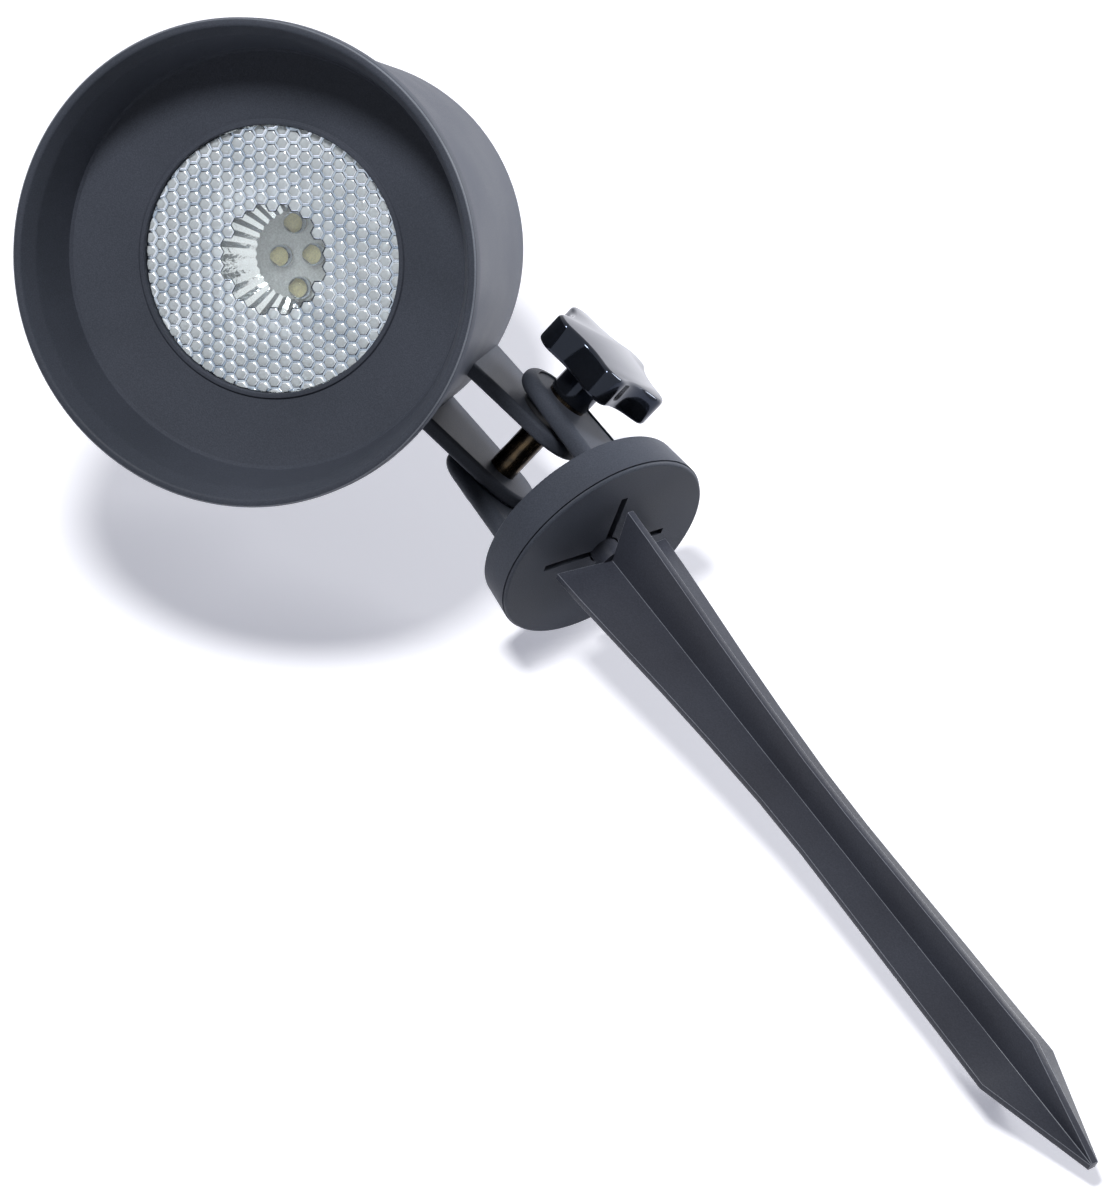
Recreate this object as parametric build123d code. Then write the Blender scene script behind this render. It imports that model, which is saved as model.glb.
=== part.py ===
from build123d import *
import os
from math import cos, sin, radians

os.makedirs("parts", exist_ok=True)

# Garden spike spotlight, in millimetres.
# Origin: middle of the flange's underside, on the ground line. +X runs along
# the tilt bolt to the knob, -Y is the front, +Z is up, the spike points down.

# ---- clearances and walls shared by several pieces ----------------------
RUNNING = 0.05          # radial play of the tilting arms on the bolt
SIDE_PLAY = 0.3         # each side of the arms, between the ears
LOOSE = 0.2             # radial play of seats, plugs and screw holes
SEAM = 0.3              # open seams between the moulded shells
WALL = 2.2              # general wall of the moulded shells

# ---- tilt joint ---------------------------------------------------------
PIVOT_Z = 44.82         # bolt axis above the ground line
AIM_DOWN = 24.23        # stored aim of the head, degrees below level
BOLT_R = 3.0
SPACER_R = 4.5          # tube between the arms
ARM_GAP = 17.2          # between the two arms
ARM_T = 4.6
ARM_R = 14.0            # rounded end of an arm, about the bolt
ARM_ROOT_U = 31.0       # height on the head where the arm outline is widest
ARM_FRONT = 17.0
ARM_BACK = 22.0
ARM_EDGE = 1.2          # rounding of the arms' edges
WASHER_T = 2.0          # friction washer on the knob side
WASHER_R = 10.4
EAR_T = 6.0
EAR_R = 13.5
EAR_RISE = 2.0          # ear's round end sits above the bolt by this
EAR_FRONT = 17.5        # foot of an ear, to the front and to the back
EAR_BACK = 16.5
EAR_ROUND = 2.9         # full round of an ear's edge
EAR_FOOT = 3.1          # ear's foot inside the cap
EAR_FACE_DEPTH = 0.5    # sunk outer face inside the rounded edge
EAR_EDGE = 3.3

# ---- head, on its own axis: depth from the rim plane, radius ------------
HEAD_RISE = 87.1        # bolt axis to head axis
RIM_REACH = 75.15       # bolt axis to rim plane
RIM_R = 70.0
RIM_LIP = 2.4           # width of the rounded lip
BAND = 5.3              # depth of the outer rim band
BAND_STEP = 2.8         # band stands out from the drum by this
BEAD_STEP = 1.8         # thick mouth of the drum stands out by this
THROAT_IN = 5.0         # cup's side wall just behind the band, in from the rim
THROAT_DEPTH = 6.0
CUP_IN = 8.6            # foot of the cup's side wall, in from the rim
CUP_DEPTH = 23.5
FLOOR_W = 22.05         # width of the cup floor, foot of the wall to the opening
DISH = 3.75             # how far the cup floor falls to the opening
LIP_W = 1.4             # raised lip round the opening
SPIGOT_L = 20.4         # cowl's plug, from the band back
NOSE_T = 1.2            # thin mouth of the drum round the plug
DRUM_STEP_L = 1.7       # from the band back to the drum's plain side
DRUM_TAPER = 9.3        # drum's radius falls by this to the rear
DRUM_DEPTH = 103.0
DRUM_CORNER = 5.0
SEAL_T = 1.5
GASKET_T = 0.8
LENS_T = 3.0
LENS_PROUD = 1.2        # plug of the lens that stands into the opening
REFLECTOR_L = 20.0
REFLECTOR_REAR_R = 17.6
REFLECTOR_T = 1.3
BOARD_REACH = 5.9       # emitter board reaches past the reflector by this
BOARD_T = 1.6
LED_OUT = 9.0           # two emitters on the long diagonal
LED_IN = 4.7            # two on the short one
LED_TURN = 47.0
DOME_R = 3.2
CHIP = 3.4
CHIP_T = 0.9
SINK_DISC_T = 5.4
SINK_CORE_R = 9.0
SINK_FIN_IN = 3.7       # fins stop short of the disc's edge
SINK_FINS = 16
FIN_T = 1.6
SINK_AIR = 6.0          # fins to driver board
LEDGE_T = 2.5
LEDGE_LAP = 2.7         # ledge under the heat sink's disc
SCREW_R = 1.6           # three long screws that hold the front cowl
SCREW_L = 15.0
SCREW_HEAD_T = 2.4
SCREW_BITE = 7.0        # thread inside the cowl's bosses
POST_R = 4.9
BOSS_R = 4.2
WELL_R = 3.6
BOSS_L = 10.3           # cowl's bosses, from the plug's end back
DRIVER_R = 36.0
DRIVER_POST_L = 12.2
DRIVER_POST_R = 3.0
DRIVER_POST_IN = 4.0    # post centres, in from the driver board's edge
STAKE_R = 1.2
LEAD_R = 0.6
LEAD_IN = 2.5           # lead holes, in from the emitter board's edge

# ---- cord inlet ---------------------------------------------------------
CORD_R = 3.0            # bore of the seal, for a 6 mm cord
GLAND_R = 6.0
GLAND_FLAT = 15.0       # across the flats of its hexagons
GLAND_HEX_T = 4.0
GLAND_NECK = 7.0
GLAND_CAP_R = 7.4
GLAND_CAP_L = 11.0
GLAND_INSIDE = 7.5
GLAND_NUT_T = 3.5
GLAND_SEAL_T = 1.4
GLAND_SEAL_L = 8.0

# ---- base ---------------------------------------------------------------
CAP_TOP = 13.2
CAP_TOP_R = 34.42
CAP_FOOT_R = 35.58
CAP_WALL = 3.0
CAP_BOSS_R = 22.0
FLANGE_R = 35.3
FLANGE_EDGE = 1.0       # visible edge of the flange plate
FLANGE_T = 4.0
SLOT_R = 22.4           # cross slot in the flange plate
SLOT_W = 2.4
HUB_R = 4.4             # round core of the spike's tenon
TENON_R = 16.5
TENON_T = 1.6
TENON_TOP = 8.0
BASE_SCREW_R = 2.0
BASE_SCREW_L = 13.0
BASE_SCREW_HEAD_R = 4.0
BASE_SCREW_HEAD_T = 2.6
BASE_WASHER_R = 5.5
BASE_WASHER_T = 1.0
SINKING = 2.0           # depth of the pocket for the washer

# ---- spike --------------------------------------------------------------
SHOULDER_Z = -3.7       # fins' tops at their edges, falling to the middle
SHOULDER_FALL = 1.7
TIP_Z = -236.7
TIP_R = 1.2
FIN_ROOT_T = 2.54
FIN_EDGE_T = 2.06
SPIKE_TURN = 56.0       # azimuth of one fin
FIN_PROFILE = [(SHOULDER_Z, 20.6), (-15, 19.8), (-32, 18.1), (-53, 15.9), (-73, 14.2),
               (-98, 12.6), (-118, 12.2), (-142, 12.5), (-165, 12.9),
               (-188, 13.2), (-203, 13.5)]

# ---- knob ---------------------------------------------------------------
KNOB_WASHER_T = 1.0
KNOB_WASHER_R = 6.6
KNOB_HUB_R = 6.9
KNOB_HUB_L = 9.6
STAR_T = 10.2
STAR_R = 21.8
STAR_LOBES = 5
SCALLOP_R = 15.0
SCALLOP_AT = 31.4
LOBE_CORNER = 2.0
STAR_EDGE = 1.4
KNOB_TURN = 226.0
INSERT_R = 5.0
INSERT_L = 12.0
THREAD_GRIP = 15.5      # bolt length past the knob washer
BOLT_HEAD_R = 6.5
BOLT_HEAD_T = 3.2
BOLT_SQUARE = 6.0
BOLT_SQUARE_L = 4.0

# ---- positions that follow from the sizes -------------------------------
clamp_w = ARM_GAP + 2 * ARM_T
ear_gap = clamp_w + WASHER_T + 2 * SIDE_PLAY
ear_in = ear_gap / 2
ear_out = ear_in + EAR_T
ear_seat = ear_out - EAR_FACE_DEPTH
head_x = -ear_in + SIDE_PLAY + clamp_w / 2
arm_out = head_x + clamp_w / 2
washer_in = ear_in - WASHER_T

cup_r = RIM_R - CUP_IN
opening_r = cup_r - FLOOR_W
drum_front_r = RIM_R - BAND_STEP
drum_rear_r = drum_front_r - DRUM_TAPER
drum_front_depth = BAND + DRUM_STEP_L
bead_r = drum_front_r + BEAD_STEP
screw_circle = drum_rear_r - DRUM_CORNER - WELL_R - 0.8
lens_r = screw_circle - POST_R - 0.4
board_r = REFLECTOR_REAR_R + BOARD_REACH
lead_x = board_r - LEAD_IN
spigot_end = BAND + SPIGOT_L
boss_end = spigot_end + BOSS_L
opening_depth = CUP_DEPTH + DISH
seat = opening_depth + WALL                 # rear face of the cup floor
lens_front = seat + GASKET_T
lens_rear = lens_front + LENS_T
board_front = lens_rear + REFLECTOR_L
board_rear = board_front + BOARD_T
sink_rear = board_rear + SINK_DISC_T
drum_in = DRUM_DEPTH - WALL
driver_depth = drum_in - DRIVER_POST_L - BOARD_T
driver_rear = driver_depth + BOARD_T
driver_post_circle = DRIVER_R - DRIVER_POST_IN
fin_rear = driver_depth - SINK_AIR
screw_tip = boss_end - SCREW_BITE
screw_head = screw_tip + SCREW_L
gland_nut_in = drum_in - GLAND_NUT_T
gland_hex_rear = DRUM_DEPTH + GLAND_HEX_T
gland_neck_rear = gland_hex_rear + GLAND_NECK
gland_seal_front = gland_neck_rear - GLAND_SEAL_L + 2
gland_cap_front = gland_hex_rear + 0.5
gland_cap_rear = gland_cap_front + GLAND_CAP_L
screw_angles = (90, 210, 330)
led_spots = [(LED_OUT, LED_TURN), (LED_IN, LED_TURN + 90),
             (LED_IN, LED_TURN - 90), (LED_OUT, LED_TURN + 180)]

plate_top = FLANGE_T
cap_foot = FLANGE_EDGE + SEAM
cap_in = CAP_TOP_R - CAP_WALL
knob_washer_out = ear_seat + KNOB_WASHER_T
star_in = knob_washer_out + KNOB_HUB_L
star_out = star_in + STAR_T
bolt_tip = knob_washer_out + THREAD_GRIP


# ---- helpers ------------------------------------------------------------
def section(points):
    """Closed face in the radius/depth plane. A third value rounds a corner."""
    face = make_face(Polyline(*[(p[1], p[0]) for p in points], close=True))
    for p in points:
        if len(p) > 2:
            corner = face.vertices().sort_by_distance((p[1], p[0], 0))[0]
            face = fillet(corner, p[2])
    return face


def turned(points):
    """Solid of revolution about the head's axis."""
    return revolve(section(points), Axis.Y)


def round_y(radius, start, end, x=0, z=0):
    """Cylinder along the head's axis from one depth to another."""
    body = Cylinder(radius, end - start, align=(Align.CENTER, Align.CENTER, Align.MIN))
    return Location((x, start, z)) * Rotation(-90, 0, 0) * body


def round_x(radius, start, end, y=0, z=0):
    """Cylinder along the tilt bolt."""
    body = Cylinder(radius, end - start, align=(Align.CENTER, Align.CENTER, Align.MIN))
    return Location((start, y, z)) * Rotation(0, 90, 0) * body


def round_z(radius, low, high, x=0, y=0):
    """Upright cylinder."""
    body = Cylinder(radius, high - low, align=(Align.CENTER, Align.CENTER, Align.MIN))
    return Location((x, y, low)) * body


def block(x0, x1, y0, y1, z0, z1):
    body = Box(x1 - x0, y1 - y0, z1 - z0, align=(Align.MIN, Align.MIN, Align.MIN))
    return Location((x0, y0, z0)) * body


def hex_y(flats, start, end):
    """Hexagonal prism along the head's axis."""
    face = RegularPolygon(flats / 2, 6, major_radius=False)
    body = extrude(face, end - start)
    return Location((0, start, 0)) * Rotation(-90, 0, 0) * body


def spot(radius, angle):
    return radius * cos(radians(angle)), radius * sin(radians(angle))


def drum_r(depth):
    """Outside radius of the rear shell."""
    slope = DRUM_TAPER / (DRUM_DEPTH - drum_front_depth)
    return drum_front_r - slope * (depth - drum_front_depth)


def ear_face(inset):
    """Outline of an ear in front/height terms, shrunk by the inset."""
    mid = PIVOT_Z + EAR_RISE
    foot = CAP_TOP - EAR_FOOT if inset == 0 else CAP_TOP
    dome = Location((0, mid)) * Circle(EAR_R - inset)
    toes = Line((inset - EAR_FRONT, foot), (EAR_BACK - inset, foot))
    return make_hull(dome.edges() + toes.edges())


def arm_face():
    """Outline of an arm, rounded about the bolt and widening to the head."""
    end = Circle(ARM_R)
    root = Line((-ARM_FRONT, ARM_ROOT_U), (ARM_BACK, ARM_ROOT_U))
    rise = Location(((ARM_BACK - ARM_FRONT) / 2, ARM_ROOT_U + 6)) * Rectangle(
        ARM_BACK + ARM_FRONT, 12)
    return make_hull(end.edges() + root.edges()) + rise


def slab(face, x0, x1):
    """Front/height outline stood up and given its thickness along the bolt."""
    stood = Plane(origin=(x0, 0, 0), x_dir=(0, 1, 0), z_dir=(1, 0, 0)) * face
    return extrude(stood, x1 - x0, dir=(1, 0, 0))


def softened(plate, radius):
    """Plate across the bolt with the edges of both its faces rounded."""
    sides = plate.edges().group_by(Axis.X)
    return fillet(sides[0] + sides[-1], radius)


# head axis to bolt axis, then to the row frame
to_bolt = Location((head_x, -RIM_REACH, HEAD_RISE))
tilt = Location((0, 0, PIVOT_Z)) * Rotation(AIM_DOWN, 0, 0)


def on_head(shape):
    return tilt * to_bolt * shape


nodes = {}

# ---- front cowl: rim band, tapered cup, dished floor with the opening ---
lip = RIM_LIP / 2 - 0.05
cowl_r = drum_front_r - NOSE_T
spigot_r = drum_r(spigot_end) - WALL + LOOSE / 2
cowl = turned([
    (0, RIM_R, lip), (BAND, RIM_R, 0.4), (BAND, cowl_r), (spigot_end, spigot_r),
    (spigot_end, cup_r - 0.4), (seat - 0.7, opening_r + 5), (seat, opening_r + 5),
    (seat, opening_r), (opening_depth - 0.8, opening_r, 0.3),
    (opening_depth - 0.8, opening_r + LIP_W, 0.3), (opening_depth - 0.2, opening_r + LIP_W + 0.3),
    (CUP_DEPTH, cup_r, 1.5), (THROAT_DEPTH, RIM_R - THROAT_IN, 8), (0, RIM_R - RIM_LIP, lip)])
for angle in screw_angles:
    x, z = spot(screw_circle, angle)
    cowl += round_y(BOSS_R, spigot_end + 0.4, boss_end, x, z)
for angle in screw_angles:
    x, z = spot(screw_circle, angle)
    cowl -= round_y(SCREW_R, screw_tip - 1, boss_end + 1, x, z)
nodes["front_cowl"] = on_head(cowl)

# ---- rear shell: drum, mouth bead, ledges, posts, two arms --------------
skin = turned([
    (BAND + SEAM, 0), (BAND + SEAM, bead_r), (BAND + SEAM + 0.8, bead_r, 0.5),
    (drum_front_depth, drum_r(drum_front_depth)),
    (DRUM_DEPTH, drum_rear_r, DRUM_CORNER), (DRUM_DEPTH, 0)])
seal_front = spigot_end
seal_rear = seal_front + SEAL_T
hollow = turned([
    (0, 0), (0, cowl_r + LOOSE / 2), (BAND, cowl_r + LOOSE / 2),
    (seal_rear, drum_r(seal_rear) - WALL + LOOSE), (seal_rear, cup_r - 0.9),
    (seal_rear + 2, cup_r - 0.9), (seal_rear + 4, drum_r(seal_rear + 4) - WALL),
    (drum_in, drum_r(drum_in) - WALL, DRUM_CORNER - WALL), (drum_in, 0)])
ledge = turned([
    (sink_rear - 3, lens_r + LOOSE), (sink_rear - 3, lens_r + LOOSE + 2),
    (sink_rear, lens_r + LOOSE + 2.2), (sink_rear, drum_r(sink_rear) - 1),
    (sink_rear + LEDGE_T, drum_r(sink_rear) - 1), (sink_rear + LEDGE_T, lens_r - LEDGE_LAP),
    (sink_rear, lens_r - LEDGE_LAP), (sink_rear, lens_r + LOOSE)])
posts = round_y(POST_R, boss_end, drum_in + 1, *spot(screw_circle, screw_angles[0]))
for angle in screw_angles[1:]:
    posts += round_y(POST_R, boss_end, drum_in + 1, *spot(screw_circle, angle))
for k in range(3):
    x, z = spot(driver_post_circle, 30 + 120 * k)
    posts += round_y(DRIVER_POST_R, driver_rear, drum_in + 1, x, z)
    posts += round_y(STAKE_R, driver_depth - 0.8, driver_rear + 1, x, z)

arms = softened(slab(arm_face(), arm_out - ARM_T, arm_out), ARM_EDGE)
arms += softened(slab(arm_face(), arm_out - clamp_w, arm_out - clamp_w + ARM_T), ARM_EDGE)
arms -= round_x(BOLT_R + RUNNING, -bolt_tip, bolt_tip)
shell = skin + to_bolt.inverse() * arms
shell -= hollow
shell += ledge
shell += posts
for angle in screw_angles:
    x, z = spot(screw_circle, angle)
    shell -= round_y(SCREW_R + LOOSE, boss_end - 1, screw_head + 1, x, z)
    shell -= round_y(WELL_R, screw_head, DRUM_DEPTH + 1, x, z)
shell -= round_y(GLAND_R + LOOSE / 2, drum_in - 1, DRUM_DEPTH + 1)
nodes["rear_housing"] = on_head(shell)

nodes["housing_seal"] = on_head(turned([
    (seal_front, cup_r - 0.4), (seal_front, spigot_r - 0.1),
    (seal_rear, spigot_r - 0.1), (seal_rear, cup_r - 0.4)]))

for n, angle in enumerate(screw_angles, 1):
    x, z = spot(screw_circle, angle)
    screw = round_y(SCREW_R, screw_tip, screw_head, x, z)
    head = round_y(WELL_R - LOOSE, screw_head, screw_head + SCREW_HEAD_T, x, z)
    head = fillet(head.edges().sort_by(Axis.Y)[-1], 0.8)
    screw += head
    screw -= Location((x, screw_head + 1.6, z)) * Box(1, 2, 4.6)
    screw -= Location((x, screw_head + 1.6, z)) * Box(4.6, 2, 1)
    nodes[f"cowl_screw_{n}"] = on_head(screw)

# ---- lens, its gasket and the reflector behind it -----------------------
nodes["lens_gasket"] = on_head(turned([
    (seat, opening_r + 0.6), (seat, lens_r), (lens_front, lens_r),
    (lens_front, opening_r + 0.6)]))
nodes["lens"] = on_head(turned([
    (lens_front - LENS_PROUD, 0), (lens_front - LENS_PROUD, opening_r - LOOSE, 0.4),
    (lens_front, opening_r - LOOSE), (lens_front, lens_r), (lens_rear, lens_r),
    (lens_rear, 0)]))
steps = 6
curve = []
for k in range(steps + 1):
    t = k / steps
    r = REFLECTOR_REAR_R + (opening_r - REFLECTOR_REAR_R) * (1 - t) ** 0.8
    curve.append((lens_rear + REFLECTOR_L * t, r))
outer = [(d, r + REFLECTOR_T) for d, r in reversed(curve)]
outer[-1] = (lens_rear + REFLECTOR_T, outer[-1][1] - 0.6)
nodes["reflector"] = on_head(turned(
    curve + outer + [(lens_rear + REFLECTOR_T, lens_r), (lens_rear, lens_r)]))

# ---- light source: board, four emitters under clear domes ---------------
board = round_y(board_r, board_front, board_rear)
for side in (-1, 1):
    board -= round_y(LEAD_R, board_front - 1, board_rear + 1, side * lead_x)
nodes["led_board"] = on_head(board)
for n, (radius, angle) in enumerate(led_spots, 1):
    x, z = spot(radius, angle)
    half = CHIP / 2
    chip = block(x - half, x + half, board_front - CHIP_T, board_front, z - half, z + half)
    dome = round_y(DOME_R, board_front - 1.4, board_front, x, z)
    dome += Location((x, board_front - 1.4, z)) * Sphere(DOME_R)
    dome -= block(x - 5, x + 5, board_front, board_front + 6, z - 5, z + 5)
    nodes[f"led_emitter_{n}"] = on_head(chip)
    nodes[f"led_dome_{n}"] = on_head(dome - chip)

# ---- heat sink: disc, core and radial fins ------------------------------
sink = round_y(lens_r, board_rear, sink_rear)
sink += round_y(SINK_CORE_R, sink_rear - 1, fin_rear)
for k in range(SINK_FINS):
    fin = block(SINK_CORE_R - 2, lens_r - SINK_FIN_IN, sink_rear - 1, fin_rear, -FIN_T / 2, FIN_T / 2)
    sink += Rotation(0, 360 * (k + 0.5) / SINK_FINS, 0) * fin
for side in (-1, 1):
    sink -= round_y(1.1, board_rear - 1, sink_rear + 1, side * lead_x)
nodes["heat_sink"] = on_head(sink)

# ---- driver board with its components and the two leads -----------------
driver = round_y(DRIVER_R, driver_depth, driver_rear)
for k in range(3):
    x, z = spot(driver_post_circle, 30 + 120 * k)
    driver -= round_y(STAKE_R, driver_depth - 1, driver_rear + 1, x, z)
for side in (-1, 1):
    driver -= round_y(LEAD_R, driver_depth - 1, driver_rear + 1, side * lead_x)
nodes["driver_board"] = on_head(driver)
nodes["led_lead_positive"] = on_head(round_y(LEAD_R, board_front, driver_rear, lead_x))
nodes["led_lead_negative"] = on_head(round_y(LEAD_R, board_front, driver_rear, -lead_x))
can = round_y(4, driver_rear, driver_rear + 10, -11, 14)
nodes["driver_capacitor"] = on_head(fillet(can.edges().sort_by(Axis.Y)[-1], 0.6))
coil = round_y(6, driver_rear, driver_rear + 1.2, 13, 14)
coil += round_y(3.6, driver_rear + 1, driver_rear + 7, 13, 14)
coil += round_y(6, driver_rear + 6.8, driver_rear + 8, 13, 14)
nodes["driver_coil"] = on_head(coil)
terminal = block(-6, 6, driver_rear, driver_rear + 10, -24, -15)
for x in (-2.8, 2.8):
    terminal -= round_y(1.9, driver_rear + 7, driver_rear + 11, x, -18)
    terminal -= Location((x, driver_rear + 4, -14)) * Box(3.2, 3.6, 8)
nodes["terminal_block"] = on_head(terminal)

# ---- cord gland through the rear wall -----------------------------------
body = hex_y(GLAND_FLAT, DRUM_DEPTH, gland_hex_rear)
body += round_y(GLAND_R, drum_in - GLAND_INSIDE, gland_neck_rear)
body -= round_y(CORD_R + 0.8, 0, gland_neck_rear + 1)
body -= round_y(CORD_R + GLAND_SEAL_T, gland_seal_front, gland_neck_rear + 1)
nodes["gland_body"] = on_head(body)
nodes["gland_lock_nut"] = on_head(
    hex_y(GLAND_FLAT, gland_nut_in, drum_in) - round_y(GLAND_R, gland_nut_in - 1, drum_in + 1))
sleeve = round_y(CORD_R + GLAND_SEAL_T, gland_seal_front, gland_seal_front + GLAND_SEAL_L)
nodes["gland_seal"] = on_head(sleeve - round_y(CORD_R, 0, 2 * DRUM_DEPTH))
cap = turned([
    (gland_cap_front, 0), (gland_cap_front, GLAND_CAP_R, 0.4),
    (gland_cap_rear - 3, GLAND_CAP_R, 1.5), (gland_cap_rear, GLAND_CAP_R - 2, 0.8),
    (gland_cap_rear, 0)])
cap -= round_y(GLAND_R + RUNNING, 0, gland_neck_rear + 0.3)
cap -= round_y(CORD_R + GLAND_SEAL_T + LOOSE, 0, gland_seal_front + GLAND_SEAL_L)
cap -= round_y(CORD_R + 0.4, 0, 2 * DRUM_DEPTH)
nodes["gland_cap"] = on_head(cap)

# ---- spacer tube between the arms ---------------------------------------
tube = round_x(SPACER_R, head_x - ARM_GAP / 2, head_x + ARM_GAP / 2)
nodes["spacer_tube"] = tilt * (tube - round_x(BOLT_R + RUNNING, -bolt_tip, bolt_tip))

# ---- base bracket: round cap with two ears ------------------------------
cap = revolve(make_face(Polyline(
    (0, CAP_TOP), (CAP_TOP_R, CAP_TOP), (CAP_FOOT_R, cap_foot), (cap_in, cap_foot),
    (cap_in, CAP_TOP - 3.2), (CAP_BOSS_R, CAP_TOP - 3.2), (CAP_BOSS_R, plate_top),
    (0, plate_top), close=True)), Axis.Y)
cap = Rotation(90, 0, 0) * cap
cap = fillet(cap.edges().filter_by(GeomType.CIRCLE).group_by(Axis.Z)[-1], 0.8)
for k in range(6):
    rib = block(CAP_BOSS_R - 1, cap_in + 1, -1, 1, plate_top, CAP_TOP - 3)
    cap += Rotation(0, 0, 60 * k) * rib
bracket = cap
for side in (-1, 1):
    ear = slab(ear_face(0), ear_in if side > 0 else -ear_out, ear_out if side > 0 else -ear_in)
    ear = softened(ear, EAR_ROUND)
    sunk = slab(ear_face(EAR_EDGE), ear_seat, ear_out + 1)
    ear -= sunk if side > 0 else mirror(sunk, Plane.YZ)
    bracket += ear
bracket -= round_x(BOLT_R + LOOSE, -bolt_tip, bolt_tip, 0, PIVOT_Z)
square = BOLT_SQUARE / 2 + 0.1
bracket -= block(-ear_out - 1, -ear_seat + BOLT_SQUARE_L + LOOSE, -square, square,
                 PIVOT_Z - square, PIVOT_Z + square)
bracket -= round_z(BASE_SCREW_R + LOOSE, 0, CAP_TOP + 1)
bracket -= round_z(BASE_WASHER_R + LOOSE, CAP_TOP - SINKING, CAP_TOP + 1)
socket = round_z(HUB_R + LOOSE, 0, TENON_TOP)
for turn in (SPIKE_TURN, SPIKE_TURN + 90):
    socket += Rotation(0, 0, turn) * block(
        -TENON_R - LOOSE, TENON_R + LOOSE, -TENON_T / 2 - LOOSE / 2, TENON_T / 2 + LOOSE / 2,
        0, TENON_TOP)
bracket -= socket
nodes["base_bracket"] = bracket

# ---- flange plate closing the cap from below ----------------------------
plate = round_z(FLANGE_R, 0, FLANGE_EDGE)
plate = fillet(plate.edges().sort_by(Axis.Z)[0], 0.9)
plate += round_z(cap_in - LOOSE, FLANGE_EDGE - 0.5, FLANGE_T)
plate -= round_z(HUB_R + 0.6, -1, FLANGE_T + 1)
for turn in (SPIKE_TURN, SPIKE_TURN + 90):
    plate -= Rotation(0, 0, turn) * block(
        -SLOT_R, SLOT_R, -SLOT_W / 2, SLOT_W / 2, -1, FLANGE_T + 1)
nodes["flange_plate"] = plate

# ---- spike: four fins, shoulders under the plate, cross tenon -----------
edge = [(r, z) for z, r in FIN_PROFILE]
outline = [(-r, z) for r, z in reversed(edge)] + edge
outline.insert(len(edge), (0, SHOULDER_Z - SHOULDER_FALL))
outline = [(-TIP_R, TIP_Z)] + outline + [(TIP_R, TIP_Z)]
blade = extrude(Plane.XZ * make_face(Polyline(*outline, close=True)), FIN_ROOT_T, both=True)
wide = FIN_PROFILE[0][1] + 0.5
bow = make_face(Polyline(
    (-wide, -FIN_EDGE_T / 2), (0, -FIN_ROOT_T / 2), (wide, -FIN_EDGE_T / 2),
    (wide, FIN_EDGE_T / 2), (0, FIN_ROOT_T / 2), (-wide, FIN_EDGE_T / 2), close=True))
blade = blade & (Location((0, 0, TIP_Z)) * extrude(bow, SHOULDER_Z - TIP_Z))
spike = Rotation(0, 0, SPIKE_TURN) * blade + Rotation(0, 0, SPIKE_TURN + 90) * blade
spike += round_z(HUB_R, SHOULDER_Z - SHOULDER_FALL, TENON_TOP)
for turn in (SPIKE_TURN, SPIKE_TURN + 90):
    spike += Rotation(0, 0, turn) * block(
        -TENON_R, TENON_R, -TENON_T / 2, TENON_T / 2, 0, TENON_TOP)
under_washer = CAP_TOP - SINKING
screw_low = under_washer + BASE_WASHER_T - BASE_SCREW_L
spike -= round_z(BASE_SCREW_R, screw_low - 0.5, TENON_TOP + 1)
nodes["spike"] = spike

# ---- screw and washer that draw the spike into the cap ------------------
head_low = under_washer + BASE_WASHER_T
screw = round_z(BASE_SCREW_HEAD_R, head_low, head_low + BASE_SCREW_HEAD_T)
screw = fillet(screw.edges().sort_by(Axis.Z)[-1], 1.0)
screw += round_z(BASE_SCREW_R, screw_low, head_low)
screw -= Location((0, 0, head_low + 2.2)) * Box(5, 1.1, 2)
screw -= Location((0, 0, head_low + 2.2)) * Box(1.1, 5, 2)
nodes["spike_screw"] = screw
nodes["spike_washer"] = (round_z(BASE_WASHER_R, under_washer, head_low)
                         - round_z(BASE_SCREW_R + LOOSE, 0, CAP_TOP))

# ---- tilt bolt, washers, knob -------------------------------------------
bolt = round_x(BOLT_HEAD_R, -ear_seat - BOLT_HEAD_T, -ear_seat)
bolt = fillet(bolt.edges().sort_by(Axis.X)[0], 2.4)
bolt += round_x(BOLT_R, -ear_seat, bolt_tip)
bolt = chamfer(bolt.edges().sort_by(Axis.X)[-1], 0.6)
half = BOLT_SQUARE / 2
bolt += block(-ear_seat, -ear_seat + BOLT_SQUARE_L, -half, half, -half, half)
to_pivot = Location((0, 0, PIVOT_Z))
nodes["pivot_bolt"] = to_pivot * bolt
nodes["friction_washer"] = to_pivot * (
    round_x(WASHER_R, washer_in, ear_in) - round_x(BOLT_R + LOOSE, 0, bolt_tip))
nodes["knob_washer"] = to_pivot * (
    round_x(KNOB_WASHER_R, ear_seat, knob_washer_out) - round_x(BOLT_R + LOOSE, 0, bolt_tip))

star = Circle(STAR_R)
for k in range(STAR_LOBES):
    x, y = spot(SCALLOP_AT, 36 + 72 * k)
    star -= Location((x, y)) * Circle(SCALLOP_R)
star = fillet(star.vertices(), LOBE_CORNER)
star = extrude(star, STAR_T)
star = fillet(star.edges().group_by(Axis.Z)[-1] + star.edges().group_by(Axis.Z)[0], STAR_EDGE)
star = Rotation(0, 0, KNOB_TURN) * star
stand = Plane(origin=(star_in, 0, 0), x_dir=(0, 1, 0), z_dir=(1, 0, 0)).location
knob = stand * star + round_x(KNOB_HUB_R, knob_washer_out, star_in + 1)
knob -= round_x(INSERT_R, 0, knob_washer_out + INSERT_L)
knob -= round_x(BOLT_R + 0.4, 0, bolt_tip + 2)
nodes["star_knob"] = to_pivot * knob
insert = round_x(INSERT_R, knob_washer_out, knob_washer_out + INSERT_L)
nodes["knob_insert"] = to_pivot * (insert - round_x(BOLT_R + RUNNING, 0, bolt_tip))

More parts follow.
